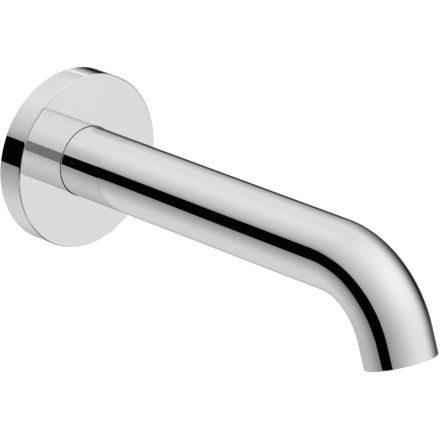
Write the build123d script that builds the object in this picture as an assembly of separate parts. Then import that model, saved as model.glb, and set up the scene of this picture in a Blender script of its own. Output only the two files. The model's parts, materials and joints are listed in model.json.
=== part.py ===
from build123d import *
import os
from math import cos, radians, sin

# Wall-mounted bath spout: a bent round body slips over a threaded wall nipple and traps a turned
# rosette against the wall. A recessed aerator closes the outlet.
# The origin lies on the wall plane and on the nipple's axis. +Z is up, the wall is at +Y and the
# spout reaches into the room along -Y. All sizes are in millimetres.

# Spout body
BODY_DIAMETER = 28.0
BODY_WALL = 3.5
REACH_TO_BEND = 149.5
BEND_RADIUS = 33.0
BEND_ANGLE = 71.0
OUTLET_LENGTH = 10.7
OUTLET_WALL = 1.95
OUTLET_EDGE_CHAMFER = 0.3

# Rosette
ROSETTE_DIAMETER = 70.0
ROSETTE_DEPTH = 11.5
ROSETTE_FRONT_WALL = 2.5
ROSETTE_RIM_WALL = 2.0
ROSETTE_EDGE_CHAMFER = 0.4
ROSETTE_BODY_GAP = 0.2
ROSETTE_COLLAR_WALL = 2.7
ROSETTE_LIP_THICKNESS = 1.7
ROSETTE_LIP_CLEARANCE = 0.6

# Connection nipple with its G 1/2 wall thread
WALL_THREAD_DIAMETER = 20.955
WALL_THREAD_LENGTH = 15.0
HEXAGON_SIZE = 24.0
HEXAGON_THICKNESS = 3.0
HEXAGON_CLEARANCE = 0.3
SPIGOT_CLEARANCE = 0.1
NIPPLE_BORE = 14.0

# Grub screw below the body
GRUB_DIAMETER = 5.0
GRUB_LENGTH = 4.0
GRUB_ROSETTE_DISTANCE = 7.5
GRUB_RECESS = 0.5
GRUB_KEY_SIZE = 2.5
GRUB_KEY_DEPTH = 2.0
GRUB_TIP_CLEARANCE = 0.05
GRUB_SIDE_CLEARANCE = 0.7
THREAD_CLEARANCE = 0.05

# Seals in the body, between the grub screw and the spigot's end
SEAL_WIDTH = 2.3
SEAL_SIDE_CLEARANCE = 0.2
SEAL_GROOVE_DEPTH = 1.6
SEAL_LAND = 1.8
SEAL_END_LAND = 2.2

# Aerator, stacked from the outlet face upstream
AERATOR_RECESS = 1.1
AERATOR_LENGTH = 7.1
AERATOR_SLEEVE_WALL = 1.8
AERATOR_KEY_COUNT = 4
AERATOR_KEY_WIDTH = 2.0
AERATOR_KEY_DEPTH = 0.8
HONEYCOMB_THICKNESS = 2.4
HONEYCOMB_PITCH = 3.2
HONEYCOMB_WEB = 0.4

# Strainer above the aerator
STRAINER_THICKNESS = 1.0
STRAINER_EDGE_CLEARANCE = 0.6
STRAINER_HUB = 4.4
STRAINER_SLOT_COUNT = 8
STRAINER_SLOT_WIDTH = 0.9
STRAINER_SLOT_MARGIN = 0.6

# Flat seal between the strainer and the ledge in the outlet
OUTLET_SEAL_WIDTH = 2.1
OUTLET_SEAL_THICKNESS = 1.5

# Values that follow from the sizes above
body_r = BODY_DIAMETER / 2
waterway_r = body_r - BODY_WALL
spigot_r = waterway_r - SPIGOT_CLEARANCE
rosette_r = ROSETTE_DIAMETER / 2
rosette_front_y = -ROSETTE_DEPTH
lip_back_y = -HEXAGON_THICKNESS - HEXAGON_CLEARANCE
tail_y = lip_back_y - ROSETTE_LIP_THICKNESS
grub_y = rosette_front_y - GRUB_ROSETTE_DISTANCE
grub_r = GRUB_DIAMETER / 2
grub_head_z = -body_r + GRUB_RECESS
grub_groove_r = body_r - GRUB_RECESS - GRUB_LENGTH - GRUB_TIP_CLEARANCE
grub_groove_half = grub_r + GRUB_SIDE_CLEARANCE
seal_groove_half = SEAL_WIDTH / 2 + SEAL_SIDE_CLEARANCE
seal_groove_r = waterway_r + SEAL_GROOVE_DEPTH
rear_seal_y = grub_y - grub_groove_half - SEAL_LAND - seal_groove_half
front_seal_y = rear_seal_y - 2 * seal_groove_half - SEAL_LAND
spigot_front_y = front_seal_y - seal_groove_half - SEAL_END_LAND
bend = radians(BEND_ANGLE)
outlet_y = -REACH_TO_BEND - BEND_RADIUS * sin(bend) - OUTLET_LENGTH * cos(bend)
outlet_z = -BEND_RADIUS * (1 - cos(bend)) - OUTLET_LENGTH * sin(bend)
seat_r = body_r - OUTLET_WALL
aerator_r = seat_r - THREAD_CLEARANCE
sleeve_r = aerator_r - AERATOR_SLEEVE_WALL
honeycomb_top = AERATOR_RECESS + HONEYCOMB_THICKNESS
aerator_top = AERATOR_RECESS + AERATOR_LENGTH
strainer_r = aerator_r - STRAINER_EDGE_CLEARANCE
strainer_top = aerator_top + STRAINER_THICKNESS
ledge = strainer_top + OUTLET_SEAL_THICKNESS
outlet_seal_inner_r = strainer_r - OUTLET_SEAL_WIDTH

# Two places nearer to each other than this are the same place
SAME_PLACE = 1e-4

# The outlet's own frame: y = 0 is its end face and +y runs upstream, as at the inlet
AT_OUTLET = Pos(0, outlet_y, outlet_z) * Rot(BEND_ANGLE, 0, 0)


def turned(*outline):
    """Solid of revolution about the Y axis from points given as (radius, y)."""
    return revolve(make_face(Polyline(*outline, close=True)), Axis.Y)


def bar(radius, start, end):
    """Round bar on the Y axis."""
    return turned((0, start), (radius, start), (radius, end), (0, end))


def ring(inner, outer, start, end):
    """Plain ring on the Y axis."""
    return turned((inner, start), (outer, start), (outer, end), (inner, end))


def cross_section(y):
    """Plane square to the Y axis whose normal runs upstream."""
    return Plane(origin=(0, y, 0), x_dir=(1, 0, 0), z_dir=(0, 1, 0))


def hexagon(across_flats):
    """Regular hexagon given by the distance between its flats."""
    return RegularPolygon(across_flats / 2, 6, major_radius=False)


def along_spout(radius):
    """Round bar along the whole centreline of the spout, from the tail to the outlet face."""
    arm = bar(radius, -REACH_TO_BEND, tail_y)
    start = Plane(origin=(0, -REACH_TO_BEND, 0), x_dir=(1, 0, 0), z_dir=(0, -1, 0))
    pivot = Axis((0, -REACH_TO_BEND, -BEND_RADIUS), (1, 0, 0))
    elbow = revolve(start * Circle(radius), pivot, BEND_ANGLE)
    outlet = AT_OUTLET * bar(radius, 0, OUTLET_LENGTH)
    return arm + elbow + outlet


def outlet_edge(solid):
    """The outer round edge at the outlet face."""
    middle = Vector(0, outlet_y, outlet_z)
    circles = solid.edges().filter_by(GeomType.CIRCLE)
    return circles.filter_by(lambda edge: (edge.arc_center - middle).length < SAME_PLACE)


def make_spout_body():
    """Hollow arm, bend and outlet with the seals' grooves, the aerator's seat and the screw hole."""
    outside = along_spout(body_r)
    outside = chamfer(outlet_edge(outside), OUTLET_EDGE_CHAMFER)
    seat = AT_OUTLET * bar(seat_r, 0, ledge)
    screw_hole = Pos(0, grub_y, -body_r) * Cylinder(grub_r + THREAD_CLEARANCE, BODY_DIAMETER)
    body = outside - along_spout(waterway_r) - seat - screw_hole
    for middle in (front_seal_y, rear_seal_y):
        body -= bar(seal_groove_r, middle - seal_groove_half, middle + seal_groove_half)
    return body


def make_rosette():
    """Hollow cover disc with a collar round the body and an inner lip that the body's tail presses on."""
    hole_r = body_r + ROSETTE_BODY_GAP
    collar_r = hole_r + ROSETTE_COLLAR_WALL
    lip_r = spigot_r + ROSETTE_LIP_CLEARANCE
    rim_r = rosette_r - ROSETTE_RIM_WALL
    inside_y = rosette_front_y + ROSETTE_FRONT_WALL
    return turned(
        (hole_r, rosette_front_y),
        (rosette_r - ROSETTE_EDGE_CHAMFER, rosette_front_y),
        (rosette_r, rosette_front_y + ROSETTE_EDGE_CHAMFER),
        (rosette_r, 0),
        (rim_r, 0),
        (rim_r, inside_y),
        (collar_r, inside_y),
        (collar_r, lip_back_y),
        (lip_r, lip_back_y),
        (lip_r, tail_y),
        (hole_r, tail_y),
    )


def make_connection_nipple():
    """Wall thread, hexagon and spigot in one turned piece, with a groove for the grub screw."""
    thread_r = WALL_THREAD_DIAMETER / 2
    stem = turned(
        (0, WALL_THREAD_LENGTH),
        (thread_r, WALL_THREAD_LENGTH),
        (thread_r, 0),
        (spigot_r, 0),
        (spigot_r, spigot_front_y),
        (0, spigot_front_y),
    )
    wrench_flats = extrude(cross_section(-HEXAGON_THICKNESS) * hexagon(HEXAGON_SIZE), HEXAGON_THICKNESS)
    groove = ring(grub_groove_r, waterway_r, grub_y - grub_groove_half, grub_y + grub_groove_half)
    waterway = bar(NIPPLE_BORE / 2, spigot_front_y, WALL_THREAD_LENGTH)
    return stem + wrench_flats - groove - waterway


def make_o_ring(middle):
    """Seal pressed square between the spigot and its groove in the body."""
    return ring(spigot_r, seal_groove_r, middle - SEAL_WIDTH / 2, middle + SEAL_WIDTH / 2)


def make_grub_screw():
    """Set screw that rises from below into the nipple's groove."""
    mouth = Plane(origin=(0, grub_y, grub_head_z))
    shank = extrude(mouth * Circle(grub_r), GRUB_LENGTH)
    return shank - extrude(mouth * hexagon(GRUB_KEY_SIZE), GRUB_KEY_DEPTH)


def make_aerator_housing():
    """Cup that screws into the outlet, with a honeycomb floor and notches for its key."""
    cup = turned(
        (0, AERATOR_RECESS),
        (aerator_r, AERATOR_RECESS),
        (aerator_r, aerator_top),
        (sleeve_r, aerator_top),
        (sleeve_r, honeycomb_top),
        (0, honeycomb_top),
    )
    floor = cross_section(AERATOR_RECESS)
    cell = hexagon(HONEYCOMB_PITCH - HONEYCOMB_WEB)
    rows = 2 * int(aerator_r / HONEYCOMB_PITCH) + 1
    grid = HexLocations(HONEYCOMB_PITCH / 2, rows, rows, major_radius=False)
    cells = [place * cell for place in grid if place.position.length < sleeve_r - HONEYCOMB_PITCH / 2]
    cup -= extrude(floor * (Sketch() + cells), HONEYCOMB_THICKNESS)
    notch = Box(2 * AERATOR_SLEEVE_WALL, AERATOR_KEY_WIDTH, 2 * AERATOR_KEY_DEPTH)
    for place in PolarLocations(aerator_r, AERATOR_KEY_COUNT):
        cup -= floor * place * notch
    return AT_OUTLET * cup


def make_aerator_strainer():
    """Flat sieve with radial slots that lies on the housing."""
    disc = bar(strainer_r, aerator_top, strainer_top)
    slot_length = outlet_seal_inner_r - STRAINER_SLOT_MARGIN - STRAINER_HUB / 2
    slot = Rectangle(slot_length, STRAINER_SLOT_WIDTH)
    spokes = PolarLocations((STRAINER_HUB + slot_length) / 2, STRAINER_SLOT_COUNT)
    slots = Sketch() + [place * slot for place in spokes]
    return AT_OUTLET * (disc - extrude(cross_section(aerator_top) * slots, STRAINER_THICKNESS))


def make_aerator_gasket():
    """Flat seal between the strainer and the ledge in the outlet."""
    return AT_OUTLET * ring(outlet_seal_inner_r, strainer_r, strainer_top, ledge)


pieces = {
    "spout_body": make_spout_body(),
    "rosette": make_rosette(),
    "connection_nipple": make_connection_nipple(),
    "o_ring_front": make_o_ring(front_seal_y),
    "o_ring_rear": make_o_ring(rear_seal_y),
    "grub_screw": make_grub_screw(),
    "aerator_housing": make_aerator_housing(),
    "aerator_strainer": make_aerator_strainer(),
    "aerator_gasket": make_aerator_gasket(),
}

os.makedirs("parts", exist_ok=True)
for name, piece in pieces.items():
    export_step(piece, f"parts/{name}.step")
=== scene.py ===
"""Looks of a wall-mounted bath spout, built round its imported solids. Sizes are in metres."""
import json
import math
from typing import NamedTuple

import bmesh
import bpy
from bpy.props import FloatProperty, FloatVectorProperty, IntProperty, PointerProperty
from bpy.types import Operator, Panel, PropertyGroup
from mathutils import Matrix, Vector
from mathutils.geometry import interpolate_bezier


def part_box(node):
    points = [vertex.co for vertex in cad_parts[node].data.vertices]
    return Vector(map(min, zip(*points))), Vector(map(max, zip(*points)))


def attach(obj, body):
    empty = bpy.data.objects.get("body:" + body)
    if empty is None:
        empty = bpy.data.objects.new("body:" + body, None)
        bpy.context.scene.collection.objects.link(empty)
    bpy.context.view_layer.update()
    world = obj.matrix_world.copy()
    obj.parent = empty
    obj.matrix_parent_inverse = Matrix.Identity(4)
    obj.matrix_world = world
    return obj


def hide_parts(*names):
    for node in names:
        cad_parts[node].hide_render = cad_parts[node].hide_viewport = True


bl_info = {
    "name": "Bath spout",
    "version": (1, 0, 0),
    "blender": (4, 5, 0),
    "location": "3D View > Sidebar > Bath spout",
    "description": "Builds the finished surfaces of a chrome bath spout round its solids",
    "category": "Object",
}

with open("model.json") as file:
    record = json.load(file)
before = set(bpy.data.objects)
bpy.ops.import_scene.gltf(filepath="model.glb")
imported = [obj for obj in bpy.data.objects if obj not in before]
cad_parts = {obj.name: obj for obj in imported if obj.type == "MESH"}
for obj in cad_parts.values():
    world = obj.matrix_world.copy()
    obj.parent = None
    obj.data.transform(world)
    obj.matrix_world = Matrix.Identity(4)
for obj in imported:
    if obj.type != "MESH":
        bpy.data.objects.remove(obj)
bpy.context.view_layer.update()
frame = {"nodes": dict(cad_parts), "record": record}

MM = 0.001
BODY = "root"
WHITE = (1.0, 1.0, 1.0, 1.0)

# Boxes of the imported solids, which the defaults below start from
BODY_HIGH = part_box("spout_body")[1]
ROSETTE_LOW, ROSETTE_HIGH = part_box("rosette")
NIPPLE_LOW, NIPPLE_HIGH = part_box("connection_nipple")
SCREW_LOW, SCREW_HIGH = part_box("grub_screw")
REAR_SEAL_LOW, REAR_SEAL_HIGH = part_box("o_ring_rear")
FRONT_SEAL_LOW, FRONT_SEAL_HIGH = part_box("o_ring_front")
SCREW_ALONG = (SCREW_LOW.y + SCREW_HIGH.y) / 2
WALL_THREAD = next(mount for mount in frame["record"]["mounts"] if mount["name"] == "wall_thread")
THREAD_RADIUS = WALL_THREAD["dims"]["r_mm"] * MM

# Fineness of the meshes
ARC_STEP = math.radians(11)
BEND_STEP = 0.8 * MM
HOLD_DISTANCE = 0.05 * MM
TOLERANCE = 0.05 * MM
SAME_PLACE = 1e-7
SHARP_ANGLE = math.radians(35)
BODY_COLUMNS = 160
ROSETTE_COLUMNS = 240
NIPPLE_COLUMNS = 144
SEAL_COLUMNS = 96
SCREW_COLUMNS = 72
HOUSING_COLUMNS = 180
PLATE_COLUMNS = 120
FLOOR_COLUMNS = 96
KNOT_STEPS = 8
THREAD_ROWS_PER_TURN = 12
THREAD_FLAT = 0.1

# Regular hexagons
HEXAGON_SIDES = 6
HEXAGON_SECTOR = math.radians(60)
HEXAGON_ROW = math.sqrt(3) / 2

# Levels of noise between which a pattern's mask rises
POLISH_RANGE = (0.35, 0.75)
WEAR_RANGE = (0.35, 0.7)
CLOUD_RANGE = (0.3, 0.7)

# How many times the metal has mirrored a ray that meets a cloth
ONCE = 1
TWICE = 2

# Cloths of the studio in millimetres: across is X, along is Y and height is Z
LEFT_FLAG_DISTANCE = 110
# Knots as (along, height)
LEFT_FLAG_UPPER = (
    (76, 49.2), (0, 45.8), (-45, 44.5), (-75, 42.9), (-105, 42.2), (-133, 40.3), (-160, 32.2), (-182, 21.8),
    (-203, 5.5), (-216, -11.3), (-229, -37.7), (-235, -70),
)
LEFT_FLAG_LOWER = (
    (67.5, -17.2), (50, -14.6), (0, -19.1), (-45, -22.2), (-60, -23), (-79, -19.6), (-100, -16.6),
    (-115, -19), (-129, -24.8), (-144, -32.2), (-163, -49), (-166, -60),
)
# Rows as (along, lower height, upper height)
RIM_FLAG_ROWS = ((130, -9.2, 49.4), (64, -9.4, 48))
MIRROR_FLAG_DISTANCE = 112
MIRROR_FLAG_ROWS = (
    (130, -15.5, 49), (-86, -19.9, 49), (-100, -18.5, 48.9), (-110, -17.6, 48.2), (-113.5, -17.6, 48.2),
    (-114.5, -14.1, 47.6), (-182, -14.1, 47.6),
)
RIGHT_FLAG_DISTANCE = 100
RIGHT_FLAG_BACK = -45
# Knots as (along, height)
RIGHT_FLAG_FRONT = (
    (-109, -13), (-109, 25), (-114, 45.6), (-119.3, 60), (-126, 75), (-134.4, 90), (-144.8, 106),
    (-157.5, 125), (-177, 150),
)
# Glow at the foot, then its steps as (from height, to height, rise)
RIGHT_FLAG_GLOW = 0.08
RIGHT_FLAG_STEPS = ((15, 62, 0.62), (62, 160, 0.27))
RIM_LIGHT_ALONG = 100
RIM_LIGHT_SIDES = (70, 115)
# Heights where the band begins, is full, begins to fade and ends
RIM_LIGHT_HEIGHTS = (71, 81, 83, 92)
RIM_LIGHT_GLOW = 0.99
# Degrees above the level on the left, and both sides as (outwards, forwards) from the rosette's front edge
EDGE_FLAG_ANGLES = range(22, 54, 2)
EDGE_FLAG_SIDES = ((0.2, 2.6), (2.6, 0.2))
EDGE_FLAG_COVER = 0.5
EDGE_FLAG_REACH = 3.5
# Sheet round the arm's root that only twice-mirrored rays meet: its cover is painted shade and its glow is
# painted light in the rosette's mirror image of the arm
PAINTED_SHEET_GAP = 0.06
PAINTED_SHEET_LENGTH = 50
PAINTED_SHEET_COVER = 0.26
# Painted light that the sheet adds to the rosette's mirror image of the arm: glow below the arm, then its
# steps round the arm as (from degrees, to degrees, rise), where a negative rise is painted shade
PAINTED_SHEET_GLOW = 0.61
PAINTED_SHEET_STEPS = (
    (-26, 2, 0.66), (3, 10, -0.41), (25.5, 27.5, 0.3), (35, 49, -0.3), (94, 101, -0.62), (103, 109, 0.62),
)


class Card(NamedTuple):
    """Soft oval card in the studio's surroundings: angles in degrees, softness and strength from 0 to 1."""

    azimuth: float
    elevation: float
    half_width: float
    half_height: float
    softness: float
    strength: float


# Near the zenith every direction counts as the same turn away from a card
ZENITH_EDGE = math.radians(60)
ZENITH_TURN = math.radians(50)

# Cards above the ground, where a light adds to the sky and a shade takes a share away
KEY_LIGHTS = (
    Card(35.7, 58.4, 111.1, 74.4, 1.0, 0.183),
)
LEFT_SHADES = (
    Card(-93.8, -20.5, 131.2, 100.5, 1.0, 0.7),
    Card(-120.1, 4.9, 48.9, 25.2, 1.0, 0.74),
)
LEFT_LIGHTS = (
    Card(-163.2, 52.1, 37.7, 44.4, 1.0, 0.069),
)

# Cards in front of the sky and the ground
SHADES = (
    Card(104.2, -2.2, 59.9, 61.4, 1.0, 0.995),
    Card(146.8, -1.5, 62.0, 16.0, 0.85, 1.0),
    Card(141.9, -32.1, 44.2, 24.7, 1.0, 0.26),
    Card(175.0, -25.9, 59.9, 14.6, 1.0, 0.2),
    Card(49.0, -10.5, 7.0, 9.0, 0.3, 0.9),
    Card(10.0, -10.0, 26.0, 13.0, 0.15, 0.97),
    Card(-78.0, -45.0, 50.0, 24.0, 0.25, 0.95),
    Card(20.0, -75.0, 60.0, 22.0, 0.2, 0.95),
    Card(0.0, -90.0, 3600.0, 30.0, 0.3, 0.95),
)
LIGHTS = (
    Card(139.2, 13.1, 3.2, 3.0, 1.0, 0.31),
    Card(43.0, -21.0, 10.0, 10.0, 1.0, 0.02),
)

# Cards that only rays mirrored twice meet
TWICE_SHADES = (
    Card(40.0, -30.0, 68.0, 40.0, 1.0, 0.33),
)
TWICE_LIGHTS = (
    Card(-20.0, 43.0, 26.0, 22.0, 1.0, 0.115),
    Card(-40.0, -26.5, 16.0, 16.0, 1.0, 0.05),
)


# Properties

def length(name, description, default):
    """Property for a size or a place in metres."""
    return FloatProperty(name=name, description=description, default=default, unit="LENGTH", precision=6)


def point(name, description, default):
    """Property for a point in metres."""
    return FloatVectorProperty(
        name=name, description=description, default=default, size=3, subtype="TRANSLATION", unit="LENGTH",
    )


def turn(name, description, degrees):
    """Property for an angle, whose default is given in degrees."""
    return FloatProperty(name=name, description=description, default=math.radians(degrees), subtype="ANGLE")


def share(name, description, default):
    """Property for a plain factor."""
    return FloatProperty(name=name, description=description, default=default, subtype="FACTOR", soft_max=1.0)


def tint(name, description, default):
    """Property for a linear colour."""
    return FloatVectorProperty(name=name, description=description, default=default, subtype="COLOR", size=3)


class SpoutBodySizes(PropertyGroup):
    """Sizes of the bent hollow body."""

    radius: length("Radius", "Outer radius of the arm", BODY_HIGH.x)
    tail: length("Tail", "Place along Y where the body ends inside the rosette", BODY_HIGH.y)
    reach: length("Reach", "Distance from the wall to the start of the bend", 149.5 * MM)
    bend_radius: length("Bend radius", "Radius of the bend's centreline", 33 * MM)
    bend_angle: turn("Bend angle", "Turn from the arm to the outlet", 71)
    outlet_length: length("Outlet length", "Straight end after the bend", 10.7 * MM)
    bore_radius: length("Bore radius", "Radius of the waterway", 10.5 * MM)
    seat_radius: length("Seat radius", "Radius of the seat that the aerator screws into", 12.05 * MM)
    seat_depth: length("Seat depth", "Depth of the aerator's seat", 10.7 * MM)
    groove_side: length("Groove side gap", "Room beside each seal in its groove", 0.2 * MM)
    outlet_rounding: length("Outlet rounding", "Rounding of the outer edge at the outlet", 0.36 * MM)
    mouth_rounding: length("Mouth rounding", "Rounding of the inner edge at the outlet", 0.3 * MM)
    tail_rounding: length("Tail rounding", "Rounding of the edges inside the rosette", 0.3 * MM)
    groove_rounding: length("Groove rounding", "Rounding of the seal grooves' edges", 0.1 * MM)
    screw_hole_radius: length("Screw hole radius", "Radius of the hole for the grub screw", 2.55 * MM)
    screw_hole_chamfer: length("Screw hole chamfer", "Chamfer at the mouth of the screw hole", 0.25 * MM)


class RosetteSizes(PropertyGroup):
    """Sizes of the turned cover disc."""

    radius: length("Radius", "Outer radius of the disc", ROSETTE_HIGH.x)
    front: length("Front", "Place of the front face along Y", ROSETTE_LOW.y)
    front_wall: length("Front wall", "Thickness of the front wall", 2.5 * MM)
    rim_wall: length("Rim wall", "Thickness of the rim", 2 * MM)
    hole_radius: length("Hole radius", "Radius of the hole round the body", 14.2 * MM)
    collar_wall: length("Collar wall", "Thickness of the collar round the body", 2.7 * MM)
    lip_radius: length("Lip radius", "Inner radius of the lip behind the body", 11 * MM)
    lip_back: length("Lip back", "Place of the lip's back along Y", -3.3 * MM)
    edge_rounding: length("Edge rounding", "Rounding of the front edge", 0.5 * MM)
    hole_rounding: length("Hole rounding", "Rounding of the edge round the body", 0.16 * MM)
    back_rounding: length("Back rounding", "Rounding of the hidden edges", 0.2 * MM)
    inside_rounding: length("Inside rounding", "Rounding at the bottom of the hollow back", 0.4 * MM)


class NippleSizes(PropertyGroup):
    """Sizes of the wall nipple."""

    thread_radius: length("Thread radius", "Radius over the wall thread's crests", THREAD_RADIUS)
    thread_end: length("Thread end", "Place of the thread's free end along Y", NIPPLE_HIGH.y)
    pitch: length("Pitch", "Advance of the wall thread per turn", 1.814 * MM)
    thread_depth: length("Thread depth", "Depth of the thread's grooves", 1.162 * MM)
    lead_in: length("Lead-in", "Chamfer at the thread's free end", 1.1 * MM)
    hexagon_width: length("Hexagon width", "Distance between the wrench flats", 24 * MM)
    hexagon_thickness: length("Hexagon thickness", "Thickness of the hexagon", 3 * MM)
    hexagon_chamfer: length("Hexagon chamfer", "Chamfer on the hexagon's corners", 0.6 * MM)
    spigot_radius: length("Spigot radius", "Radius of the spigot inside the body", 10.4 * MM)
    spigot_end: length("Spigot end", "Place of the spigot's end along Y", NIPPLE_LOW.y)
    spigot_chamfer: length("Spigot chamfer", "Chamfer that leads the seals on", 0.8 * MM)
    groove_radius: length("Groove radius", "Radius at the bottom of the screw's groove", 9.45 * MM)
    groove_half: length("Groove half width", "Half the width of the screw's groove", 3.2 * MM)
    bore_radius: length("Bore radius", "Radius of the waterway", 7 * MM)


class SealSizes(PropertyGroup):
    """Sizes of the rubber seals."""

    inner_radius: length("Inner radius", "Radius on the spigot", 10.4 * MM)
    rounding: length("Rounding", "Rounding of the squeezed section", 0.75 * MM)
    gasket_inner: length("Gasket inner radius", "Inner radius of the outlet's flat seal", 9.3 * MM)
    gasket_outer: length("Gasket outer radius", "Outer radius of the outlet's flat seal", 11.4 * MM)
    gasket_thickness: length("Gasket thickness", "Thickness of the outlet's flat seal", 1.5 * MM)
    gasket_rounding: length("Gasket rounding", "Rounding of the flat seal's edges", 0.2 * MM)


class GrubScrewSizes(PropertyGroup):
    """Sizes of the grub screw."""

    pitch: length("Pitch", "Advance of the thread per turn", 0.8 * MM)
    thread_depth: length("Thread depth", "Depth of the thread's grooves", 0.45 * MM)
    tip_radius: length("Tip radius", "Radius of the flat tip", 1.7 * MM)
    chamfer: length("Chamfer", "Chamfer at the socket's end", 0.3 * MM)
    key_size: length("Key size", "Distance between the socket's flats", 2.5 * MM)
    key_depth: length("Key depth", "Depth of the socket's flats", 2 * MM)
    drill_depth: length("Drill depth", "Depth of the cone at the socket's bottom", 0.3125 * MM)


class AeratorSizes(PropertyGroup):
    """Sizes of the aerator, measured upstream from the outlet's face."""

    recess: length("Recess", "Depth of the aerator behind the outlet's face", 1.1 * MM)
    housing_length: length("Housing length", "Length of the housing", 7.1 * MM)
    housing_radius: length("Housing radius", "Outer radius of the housing", 12 * MM)
    sleeve_radius: length("Sleeve radius", "Inner radius of the housing's sleeve", 10.2 * MM)
    edge_rounding: length("Edge rounding", "Rounding of the housing's edges", 0.25 * MM)
    key_width: length("Key width", "Width of each key notch", 2 * MM)
    key_depth: length("Key depth", "Depth of each key notch", 0.8 * MM)
    key_count: IntProperty(name="Key notches", description="Number of key notches", default=4, min=1)
    floor_thickness: length("Floor thickness", "Thickness of the honeycomb floor", 2.4 * MM)
    floor_recess: length("Floor recess", "Depth of the honeycomb behind the housing's rim", 0.15 * MM)
    cell_pitch: length("Cell pitch", "Distance between the cells' middles", 3.2 * MM)
    cell_web: length("Cell web", "Thickness of the webs between cells", 0.4 * MM)


class FinishColours(PropertyGroup):
    """Colours of the materials."""

    chrome: tint("Chrome", "Polished chrome plating", (0.86, 0.86, 0.865))
    chrome_haze: tint("Chrome haze", "Chrome where the polish is a little hazy", (0.84, 0.842, 0.85))
    brass: tint("Brass", "Freshly turned brass", (0.76, 0.56, 0.27))
    brass_dull: tint("Dull brass", "Brass that has begun to tarnish", (0.52, 0.36, 0.16))
    steel: tint("Steel", "Bare stainless steel", (0.60, 0.60, 0.61))
    steel_dull: tint("Dull steel", "Steel where it is worn", (0.42, 0.42, 0.43))
    rubber: tint("Rubber", "Black rubber", (0.022, 0.022, 0.023))
    rubber_bloom: tint("Rubber bloom", "Greyish bloom on rubber", (0.05, 0.05, 0.052))
    housing: tint("Housing", "Grey moulded plastic", (0.46, 0.47, 0.49))
    housing_light: tint("Light housing", "Paler clouds in the grey plastic", (0.54, 0.55, 0.57))
    strainer: tint("Strainer", "White moulded plastic", (0.82, 0.82, 0.80))
    strainer_light: tint("Light strainer", "Paler clouds in the white plastic", (0.88, 0.88, 0.86))
    floor: tint("Floor", "Pale studio floor", (0.80, 0.80, 0.80))
    flag: tint("Flag", "Dark studio flag", (0.0015, 0.0015, 0.0015))


class StudioSettings(PropertyGroup):
    """Camera, light and surroundings."""

    azimuth: turn("Azimuth", "Camera's turn round the spout from straight in front", -43.025)
    elevation: turn("Elevation", "Camera's height above the horizon", 20.764)
    distance: length("Distance", "Camera's distance from its aim", 1616.66 * MM)
    aim: point("Aim", "Point that the camera looks at", (0.0, -87.14 * MM, -3.66 * MM))
    lens: FloatProperty(name="Lens", description="Focal length in millimetres", default=349.76, unit="CAMERA")
    sight: length("Sight", "How far the camera sees", 100000 * MM)
    floor_drop: length("Floor drop", "Depth of the floor below the spout's axis", 2600 * MM)
    floor_radius: length("Floor radius", "Radius of the floor", 30000 * MM)
    floor_glow: share("Floor glow", "Light that the floor adds for the camera", 0.5)
    lamp_power: FloatProperty(name="Lamp power", description="Power of the lamp", default=4.0, unit="POWER")
    lamp_size: length("Lamp size", "Side of the soft lamp", 1000 * MM)
    lamp_place: point("Lamp place", "Place of the soft lamp", (-500 * MM, -700 * MM, 1000 * MM))
    sky: share("Sky", "Brightness of the studio's white walls", 0.829)
    ground: share("Ground", "Brightness of the pale ground as the metal mirrors it", 0.73)
    ground_top: turn("Ground top", "Elevation where the ground begins to show", -9.9)
    ground_full: turn("Ground full", "Elevation below which only the ground shows", -45.9)
    ambient: share("Ambient", "Brightness of the light on matt surfaces", 0.8)


PROPERTY_GROUPS = {
    "spout_body": SpoutBodySizes,
    "rosette": RosetteSizes,
    "nipple": NippleSizes,
    "seals": SealSizes,
    "grub_screw": GrubScrewSizes,
    "aerator": AeratorSizes,
    "colours": FinishColours,
    "studio": StudioSettings,
}
PREFIX = "bath_spout_"


def settings(name):
    """The property group of that name in the current scene."""
    return getattr(bpy.context.scene, PREFIX + name)


# Outlines and turned meshes

def fillet(before, corner, after, rounding):
    """Points of an arc that rounds a corner, with a holding point on each straight side."""
    back = (before - corner).normalized()
    on = (after - corner).normalized()
    opening = back.angle(on)
    reach = rounding / math.tan(opening / 2)
    centre = corner + (back + on).normalized() * rounding / math.sin(opening / 2)
    spoke = corner + back * reach - centre
    sweep = math.pi - opening
    if spoke.x * on.y - spoke.y * on.x < 0:
        sweep = -sweep
    steps = max(2, math.ceil(abs(sweep) / ARC_STEP))
    arc = [centre + Matrix.Rotation(sweep * step / steps, 2) @ spoke for step in range(steps + 1)]
    return [corner + back * (reach + HOLD_DISTANCE), *arc, corner + on * (reach + HOLD_DISTANCE)]


def rounded(corners):
    """Closed outline through corners given as (radius, along, rounding)."""
    places = [Vector(corner[:2]) for corner in corners]
    befores = places[-1:] + places[:-1]
    afters = places[1:] + places[:1]
    outline = []
    for before, here, after, (_, _, rounding) in zip(befores, places, afters, corners):
        outline += fillet(before, here, after, rounding) if rounding else [here]
    return outline


def with_rows(outline, rows):
    """A closed outline with further points where its straight stretches cross the given places."""
    dense = []
    for here, there in zip(outline, outline[1:] + outline[:1]):
        dense.append(here)
        low, high = sorted((here.y, there.y))
        crossed = [row for row in rows if low + SAME_PLACE < row < high - SAME_PLACE]
        for row in sorted(crossed, reverse=there.y < here.y):
            dense.append(here.lerp(there, (row - here.y) / (there.y - here.y)))
    return dense


def spaced(start, end, step):
    """Evenly spaced places from start to end, both included, at most a step apart."""
    count = max(1, math.ceil(abs(end - start) / step))
    return [start + (end - start) * index / count for index in range(count + 1)]


def turned(outline, columns, closed=True):
    """Mesh of an outline of (radius, along) turned about the Y axis, and its rings of vertices."""
    mesh = bmesh.new()
    angles = [2 * math.pi * column / columns for column in range(columns)]
    rings = []
    for radius, along in outline:
        if radius < SAME_PLACE:
            rings.append([mesh.verts.new((0, along, 0))] * columns)
        else:
            places = [(radius * math.cos(angle), along, radius * math.sin(angle)) for angle in angles]
            rings.append([mesh.verts.new(place) for place in places])
    followers = rings[1:] + rings[:1] if closed else rings[1:]
    for near, far in zip(rings, followers):
        stitch(mesh, near, far)
    return mesh, rings


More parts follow.
